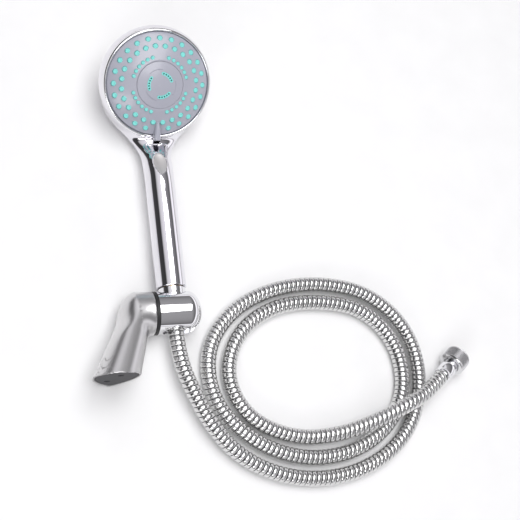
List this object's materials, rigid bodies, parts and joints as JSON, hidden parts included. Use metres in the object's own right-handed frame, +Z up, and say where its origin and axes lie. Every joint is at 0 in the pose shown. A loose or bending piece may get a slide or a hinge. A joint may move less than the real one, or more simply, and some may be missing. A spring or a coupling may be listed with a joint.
{
  "type": "handheld shower head",
  "caption": "Hand shower with a turning spray face, a swivelling wall bracket and a coiled metal hose that ends in a threaded nut.",
  "frame": {"origin": "on the table, under the middle of the handset and wall bracket together (hose and its end fittings left out)", "axes": "+Y along the handle towards the spray head, +X along the bracket's swivel axis towards the holder's domed end, +Z up from the table"},
  "size_m": [0.3648, 0.4235, 0.0777],
  "materials": {
    "chrome": "mirror-bright chrome plate on ABS",
    "satin_chrome": "soft satin chrome",
    "face_grey": "light grey-lilac, satin moulded",
    "nozzle_cyan": "pale cyan soft rubber",
    "hose_steel": "bright wound strip",
    "black_plastic": "black, fine grained",
    "plate_grey": "dark grey moulded",
    "inner_plastic": "plain moulded",
    "liner_grey": "grey moulded",
    "brass": "turned",
    "steel": "zinc-bright",
    "seal_rubber": "black rubber"
  },
  "bodies": {
    "hose": {"hose_tube": "hose_steel", "inlet_sleeve": "brass", "inlet_washer": "seal_rubber", "end_sleeve": "chrome"},
    "handset": {"handset_shell": "chrome", "rim_ring": "chrome", "water_tube": "inner_plastic", "inlet_nipple": "brass", "inlet_screen": "steel", "cone_nut": "chrome", "chamber_plate": "inner_plastic", "selector_seals": "seal_rubber", "spindle": "inner_plastic", "detent_spring": "steel", "detent_cup": "inner_plastic", "detent_ball": "steel", "dial_washer": "steel", "face_screw": "steel"},
    "dial": {"selector_disc": "inner_plastic", "nozzle_mat": "nozzle_cyan", "face_plate": "face_grey", "centre_cap": "face_grey", "centre_jets": "nozzle_cyan"},
    "holder": {"holder_barrel": "chrome", "seat_liner": "liner_grey"},
    "arm": {"arm_shell": "satin_chrome", "wall_plate": "plate_grey", "friction_ring": "black_plastic", "swivel_bolt": "steel", "spring_washer": "steel", "swivel_nut": "steel"},
    "coupling_nut": {"end_nut": "satin_chrome", "end_washer": "seal_rubber"}
  },
  "joints": [
    {"name": "hose_swivel", "type": "hinge", "parent": "hose", "child": "handset", "pos_m": [0.015, -0.08096, 0.0193], "axis": [0, 1, 0], "continuous": true},
    {"name": "spray_dial", "type": "hinge", "parent": "handset", "child": "dial", "pos_m": [0.015, 0.10704, 0.0503], "axis": [0, -0.5519, 0.8339], "range_deg": [-60, 60]},
    {"name": "holder_slide", "type": "slide", "parent": "hose", "child": "holder", "axis": [0, -1, 0], "range_m": [0, 0.024]},
    {"name": "bracket_pivot", "type": "hinge", "parent": "holder", "child": "arm", "pos_m": [-0.0045, -0.10096, 0.0193], "axis": [1, 0, 0], "range_deg": [-75, 75]},
    {"name": "nut_spin", "type": "hinge", "parent": "hose", "child": "coupling_nut", "pos_m": [0.28206, -0.16192, 0.01449], "axis": [0.7703, 0.6029, -0.2077], "continuous": true}
  ]
}
